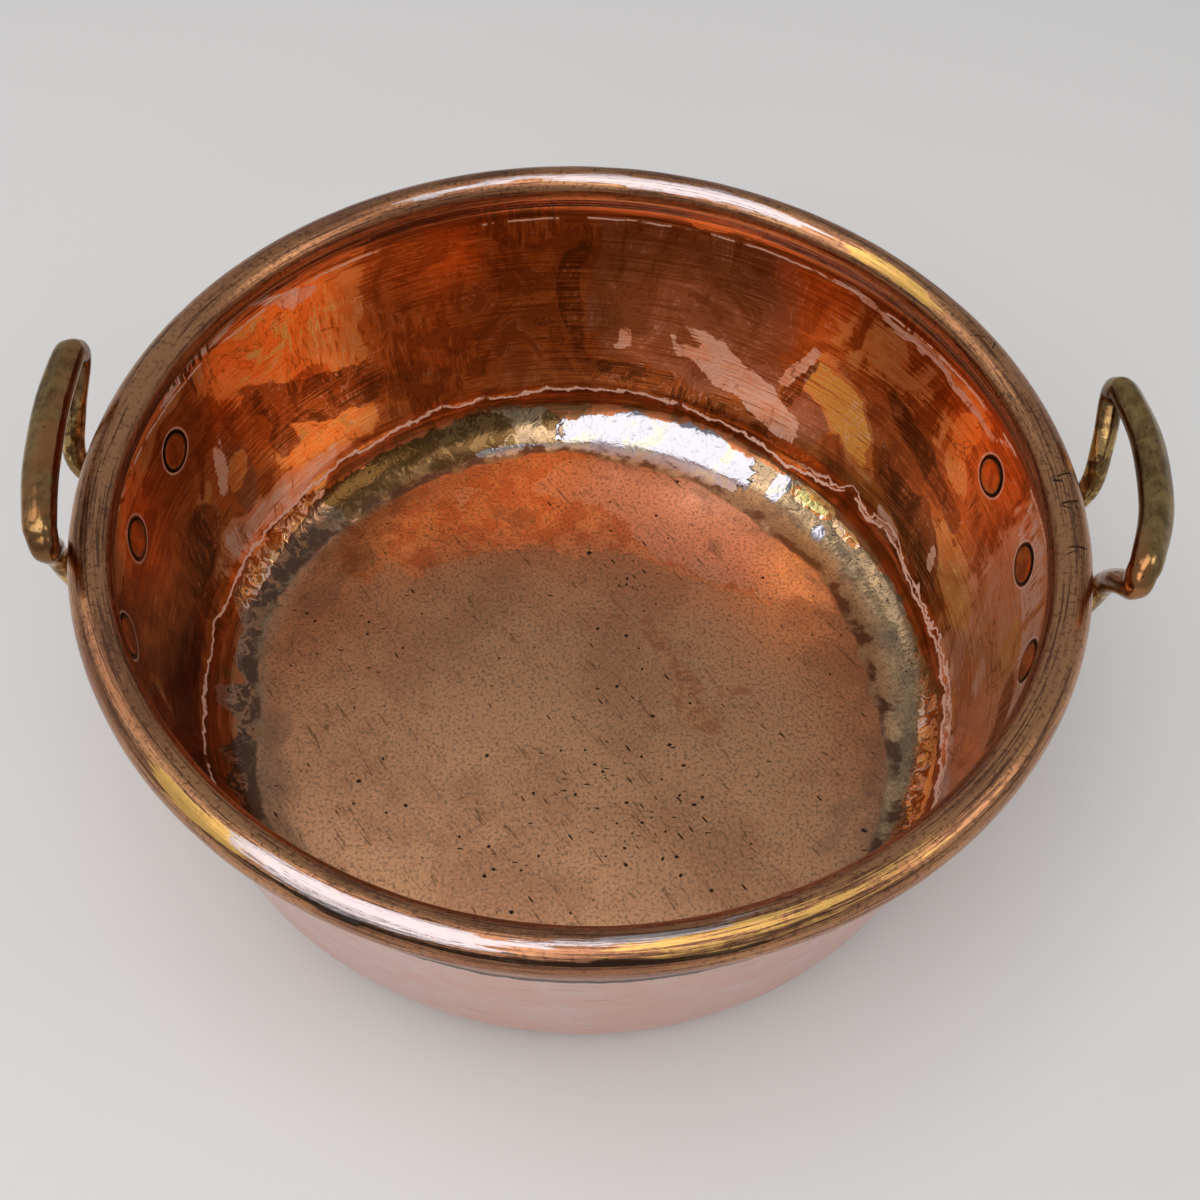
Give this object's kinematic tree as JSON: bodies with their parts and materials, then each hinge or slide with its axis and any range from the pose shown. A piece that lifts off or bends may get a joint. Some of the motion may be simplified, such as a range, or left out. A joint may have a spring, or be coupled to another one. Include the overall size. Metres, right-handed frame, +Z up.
{
  "type": "jam pan",
  "caption": "Wide round copper preserving pan with sloping wall, rolled wired rim and raised cast loop handles riveted to the wall.",
  "frame": {"origin": "centre of the flat underside", "axes": "+Z up out of the pan's mouth, X from the left handle to the right handle"},
  "size_m": [0.444, 0.3998, 0.1763],
  "materials": {
    "copper": "planished and polished copper, brown on the roll",
    "iron": "plain drawn wire",
    "brass": "cast, rubbed bright with a brown patina",
    "rivet_copper": "hammered and polished"
  },
  "bodies": {
    "root": {"pan_body": "copper", "rim_wire": "iron", "left_handle": "brass", "right_handle": "brass", "left_handle_rivets": "rivet_copper", "right_handle_rivets": "rivet_copper"}
  },
  "joints": []
}
